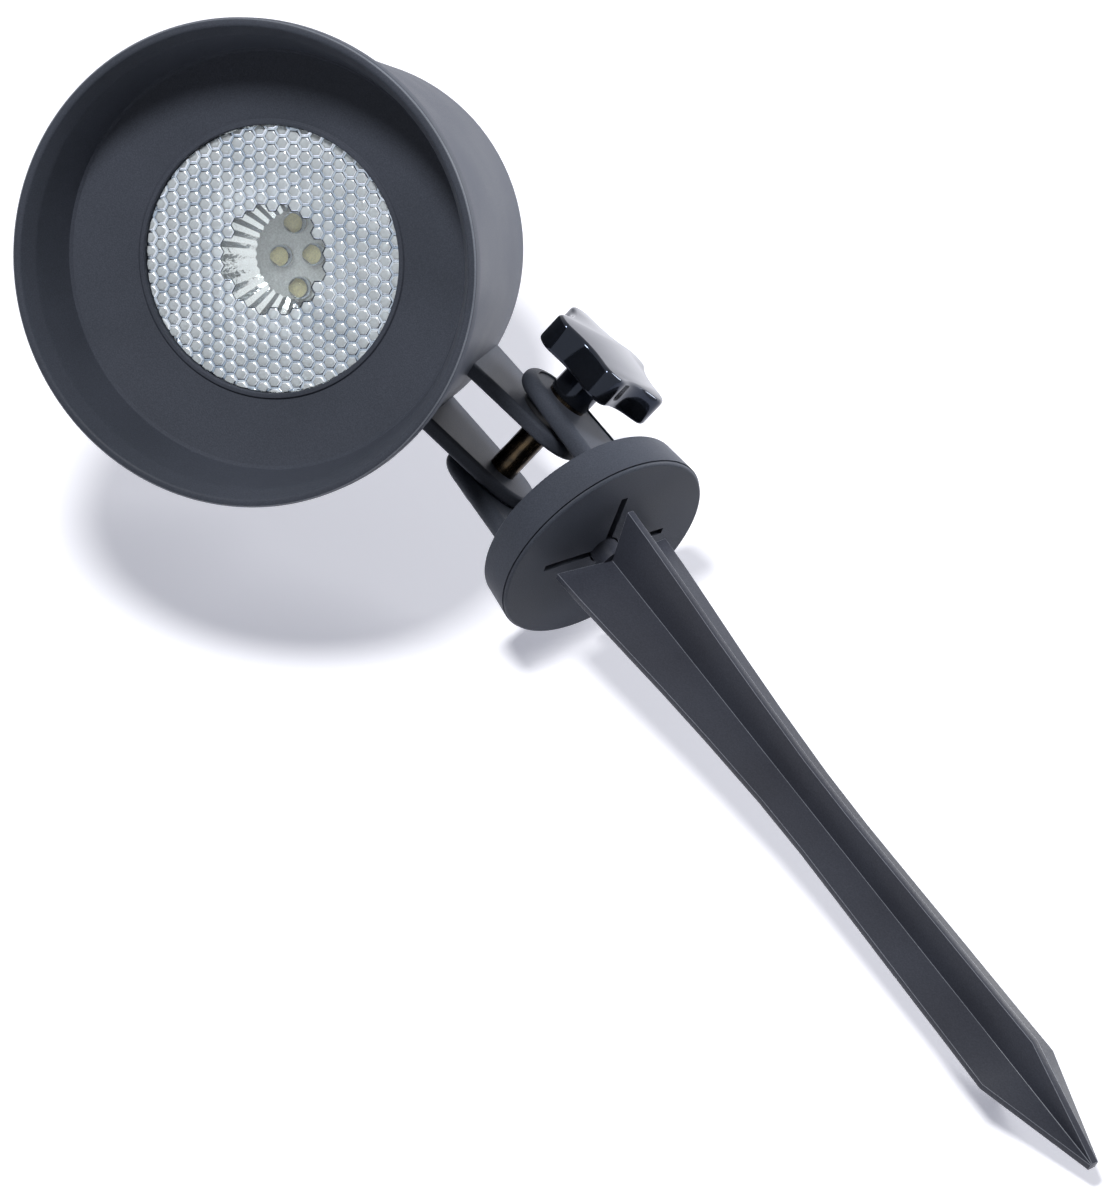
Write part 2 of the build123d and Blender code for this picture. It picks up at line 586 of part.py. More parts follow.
for node, shape in nodes.items():
    export_step(shape, f"parts/{node}.step")
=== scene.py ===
import math
import bpy
from mathutils import Matrix, Vector


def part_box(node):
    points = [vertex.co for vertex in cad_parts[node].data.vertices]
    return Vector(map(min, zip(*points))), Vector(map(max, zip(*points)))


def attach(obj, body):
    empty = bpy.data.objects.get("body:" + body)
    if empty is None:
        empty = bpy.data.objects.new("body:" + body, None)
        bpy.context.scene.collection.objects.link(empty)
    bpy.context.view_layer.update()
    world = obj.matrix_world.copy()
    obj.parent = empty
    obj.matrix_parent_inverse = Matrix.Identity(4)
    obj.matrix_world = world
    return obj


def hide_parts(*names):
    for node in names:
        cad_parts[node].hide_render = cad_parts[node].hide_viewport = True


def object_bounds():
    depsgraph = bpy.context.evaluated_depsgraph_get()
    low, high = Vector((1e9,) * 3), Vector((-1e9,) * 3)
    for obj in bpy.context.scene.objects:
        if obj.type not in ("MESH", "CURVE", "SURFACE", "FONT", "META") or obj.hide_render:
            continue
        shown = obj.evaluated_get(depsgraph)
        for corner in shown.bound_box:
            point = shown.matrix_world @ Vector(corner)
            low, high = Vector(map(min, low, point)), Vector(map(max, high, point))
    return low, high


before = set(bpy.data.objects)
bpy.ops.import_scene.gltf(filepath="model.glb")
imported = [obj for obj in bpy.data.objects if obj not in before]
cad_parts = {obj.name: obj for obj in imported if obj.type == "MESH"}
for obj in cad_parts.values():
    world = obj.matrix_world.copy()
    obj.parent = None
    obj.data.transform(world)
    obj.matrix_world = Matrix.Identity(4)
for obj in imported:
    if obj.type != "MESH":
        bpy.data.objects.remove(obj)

cad_low, cad_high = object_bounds()

# ---------------------------------------------------------------------------
# Camera. The lamp lies on its back on a white table and the camera looks down
# on it, so in the lamp's own frame the camera sits in front, low, and rolled.
# Its focal length is given in pixels of the photograph, which is 1200 tall.
bpy.ops.object.select_all(action="DESELECT")
bpy.ops.object.camera_add()
camera = bpy.context.object
camera.name = "camera"
look_right = Vector((0.664884, 0.507894, -0.547698))
look_up = Vector((0.693624, -0.147748, 0.705022))
look_back = Vector((0.277155, -0.848655, -0.450523))
camera_at = Vector((0.258519, -0.855683, -0.455206))
camera.matrix_world = Matrix.Translation(camera_at) @ Matrix(
    (look_right, look_up, look_back)).transposed().to_4x4()
SENSOR, FOCAL_PIXELS, TALL_PIXELS = 36, 3343.95, 1200
camera.data.sensor_width = SENSOR
camera.data.lens = FOCAL_PIXELS / TALL_PIXELS * SENSOR
bpy.context.scene.camera = camera

# ---------------------------------------------------------------------------
# Front cowl: one moulding of charcoal polypropylene with a fine spark-eroded
# grain. A rounded rim, a band, a tapered cup and a dished floor with a raised
# lip round the lens. It plugs into the drum and is screwed on from behind.
MM = 0.001
TILT_AXIS_Z = 44.82 * MM
AIM = math.radians(24.23)
HEAD_X, HEAD_REACH, HEAD_RISE = -1.0, 75.15, 87.1
SIDE_SHARE = 0.49
POLE_R, MERGE = 0.001, 0.0025


def head_place():
    """The head's own space: z runs back from the middle of the rim plane, and -y is up."""
    forward = Vector((0, -math.cos(AIM), -math.sin(AIM)))
    upward = Vector((0, -math.sin(AIM), math.cos(AIM)))
    at = Vector((HEAD_X * MM, 0, TILT_AXIS_Z)) + forward * HEAD_REACH * MM + upward * HEAD_RISE * MM
    return Matrix.Translation(at) @ Matrix(((1, 0, 0), -upward, -forward)).transposed().to_4x4()


def soften(corners, steps):
    """Outline through corners in mm, each rounded by its third number where its sides allow."""
    out = []
    for i, (x, y, radius) in enumerate(corners):
        here = Vector((x, y))
        if radius == 0:
            out.append((x, y))
            continue
        to_before = Vector(corners[i - 1][:2]) - here
        to_after = Vector(corners[(i + 1) % len(corners)][:2]) - here
        half = to_before.angle(to_after) / 2
        room = SIDE_SHARE * min(to_before.length, to_after.length)
        cut = min(radius / math.tan(half), room)
        radius = cut * math.tan(half)
        a = to_before.normalized()
        b = to_after.normalized()
        centre = here + (a + b).normalized() * radius / math.sin(half)
        start, end = here + a * cut - centre, here + b * cut - centre
        sweep = math.atan2(start.x * end.y - start.y * end.x, start.dot(end))
        for k in range(steps + 1):
            t = sweep * k / steps
            p = centre + Vector((start.x * math.cos(t) - start.y * math.sin(t),
                                 start.x * math.sin(t) + start.y * math.cos(t)))
            out.append((p.x, p.y))
    return out


def turned(name, outline, sides, ring=True):
    """A lathe by hand: a circle at the first (depth, radius), pulled to each next one.

    A ring closes on its first circle. A solid piece starts and ends with circles of
    POLE_R, which are so small that each merges to one point on the axis.
    """
    bpy.ops.object.select_all(action="DESELECT")
    depth, radius = outline[0]
    bpy.ops.mesh.primitive_circle_add(vertices=sides, radius=radius * MM)
    piece = bpy.context.object
    piece.name = name
    bpy.ops.object.mode_set(mode="EDIT")
    bpy.ops.mesh.select_all(action="SELECT")
    bpy.ops.transform.translate(value=(0, 0, depth * MM))
    for d, r in outline[1:] + (outline[:1] if ring else []):
        bpy.ops.mesh.extrude_region_move(TRANSFORM_OT_translate={"value": (0, 0, (d - depth) * MM)})
        bpy.ops.transform.resize(value=(r / radius, r / radius, 1), center_override=(0, 0, 0))
        depth, radius = d, r
    bpy.ops.mesh.select_all(action="SELECT")
    bpy.ops.mesh.remove_doubles(threshold=MERGE * MM)
    bpy.ops.mesh.normals_make_consistent(inside=False)
    bpy.ops.object.mode_set(mode="OBJECT")
    return piece


def settle(piece, place, angle):
    """Puts a finished piece in its place, its object at the origin, smooth below this angle."""
    bpy.ops.object.select_all(action="DESELECT")
    piece.select_set(True)
    bpy.context.view_layer.objects.active = piece
    piece.matrix_world = place @ piece.matrix_world
    bpy.ops.object.transform_apply(location=True, rotation=True, scale=True)
    bpy.ops.object.shade_smooth_by_angle(angle=math.radians(angle))
    return piece


def cut_away(piece, tool):
    """Takes the tool's space out of the piece and throws the tool away."""
    bpy.ops.object.select_all(action="DESELECT")
    bpy.context.view_layer.objects.active = piece
    piece.select_set(True)
    hole = piece.modifiers.new("cut", "BOOLEAN")
    hole.operation = "DIFFERENCE"
    hole.solver = "EXACT"
    hole.object = tool
    bpy.ops.object.modifier_apply(modifier=hole.name)
    bpy.data.objects.remove(tool)


def rod(name, radius, start, end, sides=48):
    """A round bar on the z axis, in mm."""
    bpy.ops.object.select_all(action="DESELECT")
    bpy.ops.mesh.primitive_cylinder_add(
        vertices=sides, radius=radius * MM, depth=(end - start) * MM,
        location=(0, 0, (start + end) / 2 * MM))
    bpy.context.object.name = name
    bpy.ops.object.transform_apply(location=True)
    return bpy.context.object


def linear(code):
    """An sRGB hex colour as the linear numbers that a shader takes."""
    parts = [int(code[k:k + 2], 16) / 255 for k in (1, 3, 5)]
    return (*[c / 12.92 if c <= 0.04045 else ((c + 0.055) / 1.055) ** 2.4 for c in parts], 1.0)


def add(tree, kind, settings=None, joins=None):
    """Adds one shader node, sets its fields and sockets, and joins others to it."""
    made = tree.nodes.new(kind)
    for key, value in (settings or {}).items():
        if isinstance(key, str) and hasattr(made, key):
            setattr(made, key, value)
        else:
            made.inputs[key].default_value = value
    for key, source in (joins or {}).items():
        tree.links.new(source, made.inputs[key])
    return made


def new_material(name):
    """An empty material with its shader, ready for its own nodes."""
    made = bpy.data.materials.new(name)
    made.use_nodes = True
    return made, made.node_tree, made.node_tree.nodes["Principled BSDF"]


CLOUD_MM, GRAIN_DEPTH, PLASTIC_IOR = 38, 0.12, 1.49


def moulded(name, colour, worn, grain_mm, roughness, relief, gloss=0.5):
    """Moulded or cast stuff: an even grain of grain_mm, and colour and polish in slow clouds."""
    made, tree, shader = new_material(name)
    place = add(tree, "ShaderNodeTexCoord").outputs["Object"]
    grain = add(tree, "ShaderNodeTexNoise", {"Scale": 1 / (grain_mm * MM), "Detail": 2.0,
                "Roughness": 0.6}, {"Vector": place})
    cloud = add(tree, "ShaderNodeTexNoise", {"Scale": 1 / (CLOUD_MM * MM), "Detail": 3.0},
                {"Vector": place})
    tone = add(tree, "ShaderNodeMapRange", {"From Min": 0.3, "From Max": 0.7, "To Min": 0.0,
               "To Max": 1.0}, {"Value": cloud.outputs["Fac"]})
    base = add(tree, "ShaderNodeMix", {"data_type": "RGBA", 6: linear(colour), 7: linear(worn)},
               {0: tone.outputs["Result"]})
    speck = add(tree, "ShaderNodeMapRange", {"From Min": 0.35, "From Max": 0.75, "To Min": 0.86,
                "To Max": 1.16}, {"Value": grain.outputs["Fac"]})
    shade = add(tree, "ShaderNodeHueSaturation", joins={"Color": base.outputs[2],
                "Value": speck.outputs["Result"]})
    rough = add(tree, "ShaderNodeMapRange", {"From Min": 0.3, "From Max": 0.7,
                "To Min": roughness - 0.05, "To Max": roughness + 0.06},
                {"Value": cloud.outputs["Fac"]})
    bump = add(tree, "ShaderNodeBump", {"Strength": relief, "Distance": GRAIN_DEPTH * MM},
               {"Height": grain.outputs["Fac"]})
    tree.links.new(shade.outputs["Color"], shader.inputs["Base Color"])
    tree.links.new(rough.outputs["Result"], shader.inputs["Roughness"])
    tree.links.new(bump.outputs["Normal"], shader.inputs["Normal"])
    shader.inputs["IOR"].default_value = PLASTIC_IOR
    shader.inputs["Specular IOR Level"].default_value = gloss
    return made


# A dull charcoal whose sheen breaks into fine points. The real grain, about 0.1 mm
# wide, would not show, so it is drawn at 0.42 mm.
housing_plastic = moulded(
    "polypropylene moulded charcoal", "#3e424b", "#454953", 0.42, 0.5, 0.45, 0.1)
# The same plastic on the rim's outer rounding, paler: a painted highlight where
# the edge catches the light. It is a little shinier too.
rim_painted_highlight = moulded(
    "polypropylene moulded charcoal painted highlight", "#5d626c", "#6b707a", 0.42, 0.42, 0.3, 0.4)

RIM_R, MOUTH_R, BAND_BACK = 70.0, 67.6, 5.3
SHELL_R, SHELL_BACK, SHELL_BACK_R, PLUG_R = 66.0, 25.7, 63.1, 61.0
SEAT_FRONT, SEAT_BACK, SEAT_R = 28.7, 29.4, 44.4
OPENING_R, LIP_R, LIP_FRONT = 39.35, 40.7, 26.5
LIP_FOOT, FLOOR_EDGE, FLOOR_STEP = (27.1, 41.1), (23.8, 60.6), (23.35, 61.0)
CUP_FOOT, CUP_BEND = (22.9, 61.5), (6.0, 65.0)
# Where the rim's painted highlight lies: beyond this radius and within this depth, in mm.
HIGHLIGHT_FROM, HIGHLIGHT_DEPTH = 69.3, 0.5
cowl_outline = soften([
    (0, RIM_R, 1.15), (BAND_BACK, RIM_R, 0.4), (BAND_BACK, SHELL_R, 0),
    (SHELL_BACK, SHELL_BACK_R, 0.3), (SHELL_BACK, PLUG_R, 0.3),
    (SEAT_FRONT, SEAT_R, 0), (SEAT_BACK, SEAT_R, 0.2), (SEAT_BACK, OPENING_R, 0.2),
    (LIP_FRONT, OPENING_R, 0.35), (LIP_FRONT, LIP_R, 0.35), (*LIP_FOOT, 0.3),
    (*FLOOR_EDGE, 0.15), (*FLOOR_STEP, 0.15), (*CUP_FOOT, 0.5), (*CUP_BEND, 9.0),
    (0, MOUTH_R, 1.15)], steps=6)
cowl = settle(turned("front_cowl_shell", cowl_outline, 192), head_place(), 30)
cowl.data.materials.append(housing_plastic)
cowl.data.materials.append(rim_painted_highlight)
# Faces on the rim's outer rounding take the paler plastic, a painted highlight.
for face in cowl.data.polygons:
    at = (head_place().inverted() @ face.center) / MM
    face.material_index = int(at.z < HIGHLIGHT_DEPTH and math.hypot(at.x, at.y) > HIGHLIGHT_FROM)
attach(cowl, "head")
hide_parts("front_cowl")

# ---------------------------------------------------------------------------
# Drum with its arms, bracket and flange plate: the same polypropylene as the
# cowl, each moulded in one piece. Their shapes are those of the solids.


def dress(finish, *names):
    """Gives a finish to pieces that keep the solid's own shape."""
    for name in names:
        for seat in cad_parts[name].material_slots:
            seat.material = finish


dress(housing_plastic, "rear_housing", "base_bracket", "flange_plate")

# ---------------------------------------------------------------------------
# Lens: clear moulded polycarbonate. A honeycomb of small domes, 4 mm across
# the flats, round a plain middle. It shows silvery because of the metallised
# cup behind it, and because the steep sides of its domes mirror the light.
FLOW_MM = 7


def clear(name, colour, ior, roughness, body=0.0):
    """Clear plastic: sharp where polished, a little milky (body) where the mould is textured."""
    made, tree, shader = new_material(name)
    place = add(tree, "ShaderNodeTexCoord").outputs["Object"]
    flow = add(tree, "ShaderNodeTexNoise", {"Scale": 1 / (FLOW_MM * MM), "Detail": 3.0},
               {"Vector": place})
    soft = add(tree, "ShaderNodeMapRange", {"From Min": 0.3, "From Max": 0.7,
               "To Min": roughness * 0.5, "To Max": roughness * 1.6}, {"Value": flow.outputs["Fac"]})
    level = add(tree, "ShaderNodeMapRange", {"From Min": 0.3, "From Max": 0.7, "To Min": 0.95,
                "To Max": 1.03}, {"Value": flow.outputs["Fac"]})
    tint = add(tree, "ShaderNodeHueSaturation", {"Color": linear(colour)},
               {"Value": level.outputs["Result"]})
    tree.links.new(tint.outputs["Color"], shader.inputs["Base Color"])
    tree.links.new(soft.outputs["Result"], shader.inputs["Roughness"])
    shader.inputs["Transmission Weight"].default_value = 1.0 - body
    shader.inputs["IOR"].default_value = ior
    return made


PATCH_TO_GRAIN, SCRATCH_DEPTH = 11, 0.1


def metal(name, colour, worn, roughness, grain_mm, relief, along=(1.0, 1.0, 1.0)):
    """Metal: streaks or grains of grain_mm, drawn out along an axis where the tool ran."""
    made, tree, shader = new_material(name)
    place = add(tree, "ShaderNodeTexCoord").outputs["Object"]
    drawn = add(tree, "ShaderNodeMapping", {"Scale": along}, {"Vector": place})
    grain = add(tree, "ShaderNodeTexNoise", {"Scale": 1 / (grain_mm * MM), "Detail": 3.0},
                {"Vector": drawn.outputs["Vector"]})
    patch = add(tree, "ShaderNodeTexNoise", {"Scale": 1 / (grain_mm * PATCH_TO_GRAIN * MM),
                "Detail": 2.0}, {"Vector": place})
    tone = add(tree, "ShaderNodeMapRange", {"From Min": 0.35, "From Max": 0.65},
               {"Value": patch.outputs["Fac"]})
    base = add(tree, "ShaderNodeMix", {"data_type": "RGBA", 6: linear(colour), 7: linear(worn)},
               {0: tone.outputs["Result"]})
    rough = add(tree, "ShaderNodeMapRange", {"From Min": 0.3, "From Max": 0.7,
                "To Min": roughness * 0.7, "To Max": roughness * 1.35}, {"Value": grain.outputs["Fac"]})
    bump = add(tree, "ShaderNodeBump", {"Strength": relief, "Distance": SCRATCH_DEPTH * MM},
               {"Height": grain.outputs["Fac"]})
    tree.links.new(base.outputs[2], shader.inputs["Base Color"])
    tree.links.new(rough.outputs["Result"], shader.inputs["Roughness"])
    tree.links.new(bump.outputs["Normal"], shader.inputs["Normal"])
    shader.inputs["Metallic"].default_value = 1.0
    return made


def joined(name, pieces):
    """Several meshes as one piece."""
    bpy.ops.object.select_all(action="DESELECT")
    for piece in pieces:
        piece.select_set(True)
    bpy.context.view_layer.objects.active = pieces[0]
    bpy.ops.object.join()
    pieces[0].name = name
    return pieces[0]


def pick(piece, test):
    """Selects in edit mode the corners, in mm, that pass the test, and what lies between them."""
    bpy.ops.mesh.select_mode(type="VERT")
    bpy.ops.mesh.select_all(action="DESELECT")
    bpy.ops.object.mode_set(mode="OBJECT")
    for v in piece.data.vertices:
        v.select = test(v.co / MM)
    bpy.ops.object.mode_set(mode="EDIT")


# Polished, so that the eye looks straight through it at the emitters.
plain_window = clear("polycarbonate clear moulded polished", "#f7fafa", 1.58, 0.02)
# The tops of the small domes: clear, and milky enough to stay pale all over.
dome_window = clear("polycarbonate clear moulded honeycomb", "#edf4f9", 1.58, 0.03, 0.42)
# Their steep sides send the lamp's light back, so they draw the honeycomb as silvery lines.
steep_facet = metal(
    "polycarbonate clear moulded mirroring facet", "#dfe5ec", "#c3ccd6", 0.15, 0.9, 0.1)

LENS_FACE, LENS_FLANGE, LENS_BACK = 29.35, 30.25, 33.25
LENS_PLUG_R, LENS_FLANGE_R = 39.1, 43.2
lens_outline = soften([
    (LENS_FACE, POLE_R, 0), (LENS_FACE, LENS_PLUG_R, 0.3), (LENS_FLANGE, LENS_PLUG_R, 0),
    (LENS_FLANGE, LENS_FLANGE_R, 0.2), (LENS_BACK, LENS_FLANGE_R, 0.2), (LENS_BACK, POLE_R, 0)],
    steps=3)
lens = turned("lens_plate", lens_outline, 96, ring=False)
lens.data.materials.append(plain_window)

# One cell: a low six-sided prism whose front is drawn in and lifted four times.
ACROSS, CLEAR_R, CELL_EDGE_R, CELL_GAP, CELL_FOOT = 4.0, 14.6, LENS_PLUG_R - 0.05, 0.02, 0.12
CELL_STEPS = ((0.2, 0.22), (0.36, 0.26), (0.4, 0.17), (0.4, 0.05))
STEEP_LOW, STEEP_HIGH = math.cos(math.radians(60)), math.cos(math.radians(30))
CELL_MIDDLE = LENS_FACE - CELL_GAP - CELL_FOOT / 2
corner = ACROSS / math.sqrt(3)
bpy.ops.object.select_all(action="DESELECT")
bpy.ops.mesh.primitive_cylinder_add(
    vertices=6, radius=corner * MM, depth=CELL_FOOT * MM, rotation=(0, 0, math.radians(30)),
    location=(0, 0, CELL_MIDDLE * MM))
cell = bpy.context.object
bpy.ops.object.transform_apply(location=True, rotation=True)
bpy.ops.object.mode_set(mode="EDIT")
pick(cell, lambda c: c.z < CELL_MIDDLE)
for inward, lift in CELL_STEPS:
    bpy.ops.mesh.inset(thickness=inward * MM)
    bpy.ops.transform.translate(value=(0, 0, -lift * MM))
bpy.ops.object.mode_set(mode="OBJECT")
for finish in (dome_window, steep_facet):
    cell.data.materials.append(finish)
for face in cell.data.polygons:
    face.material_index = int(STEEP_LOW < -face.normal.z < STEEP_HIGH)

# The lattice fills the lens outside the clear middle. Cells at the edge are pulled in to it.
LATTICE_TURN, COLUMNS, ROWS, OVER_EDGE = math.radians(46.8), 12, 11, 0.95
step_x, step_y = ACROSS * math.sqrt(3) / 2, ACROSS
cells = []
for column in range(-COLUMNS, COLUMNS + 1):
    for row in range(-ROWS, ROWS + 1):
        x, y = column * step_x, (row + 0.5 * (column % 2)) * step_y
        if not CLEAR_R < math.hypot(x, y) < CELL_EDGE_R + OVER_EDGE * corner:
            continue
        copy = cell.copy()
        copy.data = cell.data.copy()
        bpy.context.collection.objects.link(copy)
        for v in copy.data.vertices:
            v.co.x += x * MM
            v.co.y += y * MM
            reach = math.hypot(v.co.x, v.co.y)
            if reach > CELL_EDGE_R * MM:
                v.co.x *= CELL_EDGE_R * MM / reach
                v.co.y *= CELL_EDGE_R * MM / reach
        cells.append(copy)
bpy.data.objects.remove(cell)
honeycomb = joined("lens_honeycomb", cells)
for piece in (lens, honeycomb):
    settle(piece, head_place() @ Matrix.Rotation(LATTICE_TURN, 4, "Z"), 25)
    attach(piece, "head")
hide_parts("lens")

# ---------------------------------------------------------------------------
# Reflector: a cup of moulded ABS with a vacuum layer of aluminium. Its wall is
# in pleats from rim to foot, with steps near the rim, to break up the light.

# Bright and almost a mirror, with the faint waves of the plastic under the layer.
mirror_layer = metal("aluminium vacuum layer on ABS", "#f6f8fa", "#e9edf1", 0.07, 1.4, 0.8)
CUP_FRONT, CUP_BACK, CUP_FRONT_R, CUP_BACK_R, CUP_WALL = 33.3, 53.2, 39.35, 12.6, 1.2
CUP_PLEATS, PLEAT_DEPTH, CUP_BOW = 34, 0.04, 0.8
CUP_ROWS, STEP_ROWS, ROW_STEP = 14, 8, 0.35
inside = []
for k in range(CUP_ROWS + 1):
    t = k / CUP_ROWS
    step = -ROW_STEP * (k % 2) if k < STEP_ROWS else 0
    inside.append((CUP_FRONT + (CUP_BACK - CUP_FRONT) * t,
                   CUP_BACK_R + (CUP_FRONT_R - CUP_BACK_R) * (1 - t) ** CUP_BOW + step))
outside = [(d, r + CUP_WALL) for d, r in reversed(inside)]
reflector = turned("reflector_cup", inside + outside, 2 * CUP_PLEATS)
for v in reflector.data.vertices:
    if round(math.atan2(v.co.y, v.co.x) / math.pi * CUP_PLEATS) % 2:
        v.co.x *= 1 - PLEAT_DEPTH
        v.co.y *= 1 - PLEAT_DEPTH
settle(reflector, head_place(), 12)
reflector.data.materials.append(mirror_layer)
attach(reflector, "head")
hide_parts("reflector")

# ---------------------------------------------------------------------------
# Emitters: a white board on an aluminium core with four chips. Each is a white
# ceramic square with a smaller square of yellow phosphor, in a ceramic ring that
# carries a clear dome of cast silicone.

# Matt white print with hardly any texture.
board_white = moulded("solder mask printed white", "#f0f4f6", "#e4eaee", 0.5, 0.4, 0.08)
# Fired ceramic: a warmer white, as smooth as an eggshell.
ceramic = moulded("alumina ceramic fired", "#f0f2f1", "#e6e9e8", 0.3, 0.4, 0.1)
# Soft pale yellow, since the lamp is off.
phosphor = moulded("phosphor in silicone cast", "#f6efc4", "#efe4a8", 0.3, 0.4, 0.2)
# Water-clear, and it makes the chip look larger.
dome_clear = clear("silicone clear moulded", "#fbfcfa", 1.46, 0.01)
dress(board_white, "led_board")
CHIP, CHIP_FRONT, BOARD_FRONT, DIE_INSET, DIE_T = 3.4, 52.35, 53.25, 1.1, 0.04
DOME_R, DOME_AT, DOME_FOOT, HOLDER_R, MIRROR_SIDE = 3.2, 51.85, 52.25, 2.55, 0.85
DOME_STEPS, DOME_SIDES, NEAR = 12, 48, 0.01
bpy.ops.object.select_all(action="DESELECT")
bpy.ops.mesh.primitive_cube_add(size=2 * MM, location=(0, 0, (CHIP_FRONT + BOARD_FRONT) / 2 * MM))
chip = bpy.context.object
chip.scale = (CHIP / 2, CHIP / 2, (BOARD_FRONT - CHIP_FRONT) / 2)
bpy.ops.object.transform_apply(location=True, scale=True)
bpy.ops.object.mode_set(mode="EDIT")
pick(chip, lambda c: c.z < CHIP_FRONT + NEAR)
bpy.ops.mesh.inset(thickness=DIE_INSET * MM)
bpy.ops.transform.translate(value=(0, 0, -DIE_T * MM))
bpy.ops.object.mode_set(mode="OBJECT")
chip.data.materials.append(ceramic)
chip.data.materials.append(phosphor)
for face in chip.data.polygons:
    face.material_index = int(face.center.z < (CHIP_FRONT - DIE_T / 2) * MM)
holder = turned("holder", [(DOME_FOOT, HOLDER_R), (DOME_FOOT, DOME_R), (BOARD_FRONT, DOME_R),
                           (BOARD_FRONT, HOLDER_R)], DOME_SIDES)
holder.data.materials.append(ceramic)
chip = joined("chip", [chip, holder])
turn_end = math.acos((DOME_AT - DOME_FOOT) / DOME_R)
arc = [turn_end * k / DOME_STEPS for k in range(1, DOME_STEPS + 1)]
round_side = [(DOME_AT - DOME_R * math.cos(t), DOME_R * math.sin(t)) for t in arc]
dome = turned("dome", [(DOME_AT - DOME_R, POLE_R)] + round_side + [(DOME_FOOT, POLE_R)],
              DOME_SIDES, ring=False)
for finish in (dome_clear, steep_facet):
    dome.data.materials.append(finish)
# The dome's side mirrors the light of the cup round it, as glass does at a low angle.
for face in dome.data.polygons:
    side = math.hypot(face.normal.x, face.normal.y) > MIRROR_SIDE
    face.material_index = int(side and face.center.z < DOME_AT * MM)
for number in (1, 2, 3, 4):
    low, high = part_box(f"led_emitter_{number}")
    at = head_place().inverted() @ ((low + high) / 2)
    for model, name, node, slot in ((chip, "led_chip", "led_emitter", "led_phosphor"),
                                    (dome, "led_lens_dome", "led_dome", "led_dome")):
        piece = model.copy()
        piece.data = model.data.copy()
        piece.name = f"{name}_{number}"
        bpy.context.collection.objects.link(piece)
        settle(piece, head_place() @ Matrix.Translation((at.x, at.y, 0)), 30)
        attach(piece, "head")
        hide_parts(f"{node}_{number}")
bpy.data.objects.remove(chip)
bpy.data.objects.remove(dome)

# ---------------------------------------------------------------------------
# Spike: one moulding of dark polypropylene. Four fins, a little thicker at the
# middle, on a round core whose cross tenon goes up into the cap. Its rounded edges
# carry a painted highlight, a paler line where they catch the light.
FIN_ROWS = ((-3.7, 20.6), (-15, 19.8), (-32, 18.1), (-53, 15.9), (-73, 14.2), (-98, 12.6),
            (-118, 12.2), (-142, 12.5), (-165, 12.9), (-188, 13.2), (-203, 13.5), (-236.7, 1.4))
FIN_ROOT, FIN_EDGE, SHOULDER_FALL, FIN_ANGLE = 2.54, 2.06, 1.7, math.radians(56)
CORE_R, TENON_R, TENON_T, TENON_LOW, TENON_TOP = 4.4, 16.5, 1.6, 1.5, 8.0
EDGE_BEVEL, BLADE_EDGE = 0.35, 0.2


def rounded(piece, width, segments, angle=35, finish=-1):
    """Rounds the edges of a piece that are sharper than this angle, and can give them a finish."""
    edge = piece.modifiers.new("round", "BEVEL")
    edge.width = width * MM
    edge.segments = segments
    edge.limit_method = "ANGLE"
    edge.angle_limit = math.radians(angle)
    edge.material = finish
    bpy.context.view_layer.objects.active = piece
    bpy.ops.object.modifier_apply(modifier=edge.name)


# A shade darker and smoother than the head. Its grain is drawn coarse enough to show.
spike_plastic = moulded(
    "polypropylene moulded slate", "#353740", "#3b3e48", 0.5, 0.4, 0.3, 0.2)
# The edges of the fins: a pale thin line of painted highlight, where they catch the light.
fin_painted_highlight = moulded(
    "polypropylene moulded slate painted highlight", "#666a74", "#777b85", 0.5, 0.4, 0.2)
top, fin_r = FIN_ROWS[0]
bpy.ops.object.select_all(action="DESELECT")
bpy.ops.mesh.primitive_plane_add(size=FIN_ROOT * MM, location=(0, 0, top * MM))
spike = bpy.context.object
bpy.ops.object.transform_apply(location=True)
bpy.ops.object.mode_set(mode="EDIT")
thin = FIN_EDGE / FIN_ROOT
for way in ((1, 0), (0, 1), (-1, 0), (0, -1)):
    out = Vector((*way, 0))
    pick(spike, lambda c: c.dot(out) > FIN_ROOT / 2 - NEAR and c.length < 3 * FIN_ROOT + abs(top))
    bpy.ops.mesh.extrude_region_move(
        TRANSFORM_OT_translate={"value": out * (fin_r - FIN_ROOT / 2) * MM})
    bpy.ops.transform.resize(value=(1, thin, 1) if way[0] else (thin, 1, 1), center_override=(0, 0, 0))
depth, reach = top, fin_r
bpy.ops.mesh.select_all(action="SELECT")
for d, r in FIN_ROWS[1:]:
    bpy.ops.mesh.extrude_region_move(TRANSFORM_OT_translate={"value": (0, 0, (d - depth) * MM)})
    pick(spike, lambda c: abs(c.z - d) < NEAR and abs(c.x) > FIN_ROOT / 2 + NEAR)
    bpy.ops.transform.resize(value=(r / reach, 1, 1), center_override=(0, 0, 0))
    pick(spike, lambda c: abs(c.z - d) < NEAR and abs(c.y) > FIN_ROOT / 2 + NEAR)
    bpy.ops.transform.resize(value=(1, r / reach, 1), center_override=(0, 0, 0))
    pick(spike, lambda c: abs(c.z - d) < NEAR)
    depth, reach = d, r
pick(spike, lambda c: abs(c.z - top) < NEAR and math.hypot(c.x, c.y) < FIN_ROOT)
bpy.ops.transform.translate(value=(0, 0, -SHOULDER_FALL * MM))
bpy.ops.mesh.select_all(action="SELECT")
bpy.ops.mesh.normals_make_consistent(inside=False)
bpy.ops.object.mode_set(mode="OBJECT")
spike.data.materials.append(spike_plastic)
spike.data.materials.append(fin_painted_highlight)
# Rounds the fin edges and gives the rounding the paler plastic, a painted highlight.
rounded(spike, EDGE_BEVEL, 2, finish=1)
core = rod("core", CORE_R, top - SHOULDER_FALL, TENON_TOP)
core.data.materials.append(spike_plastic)
parts = [spike, core]
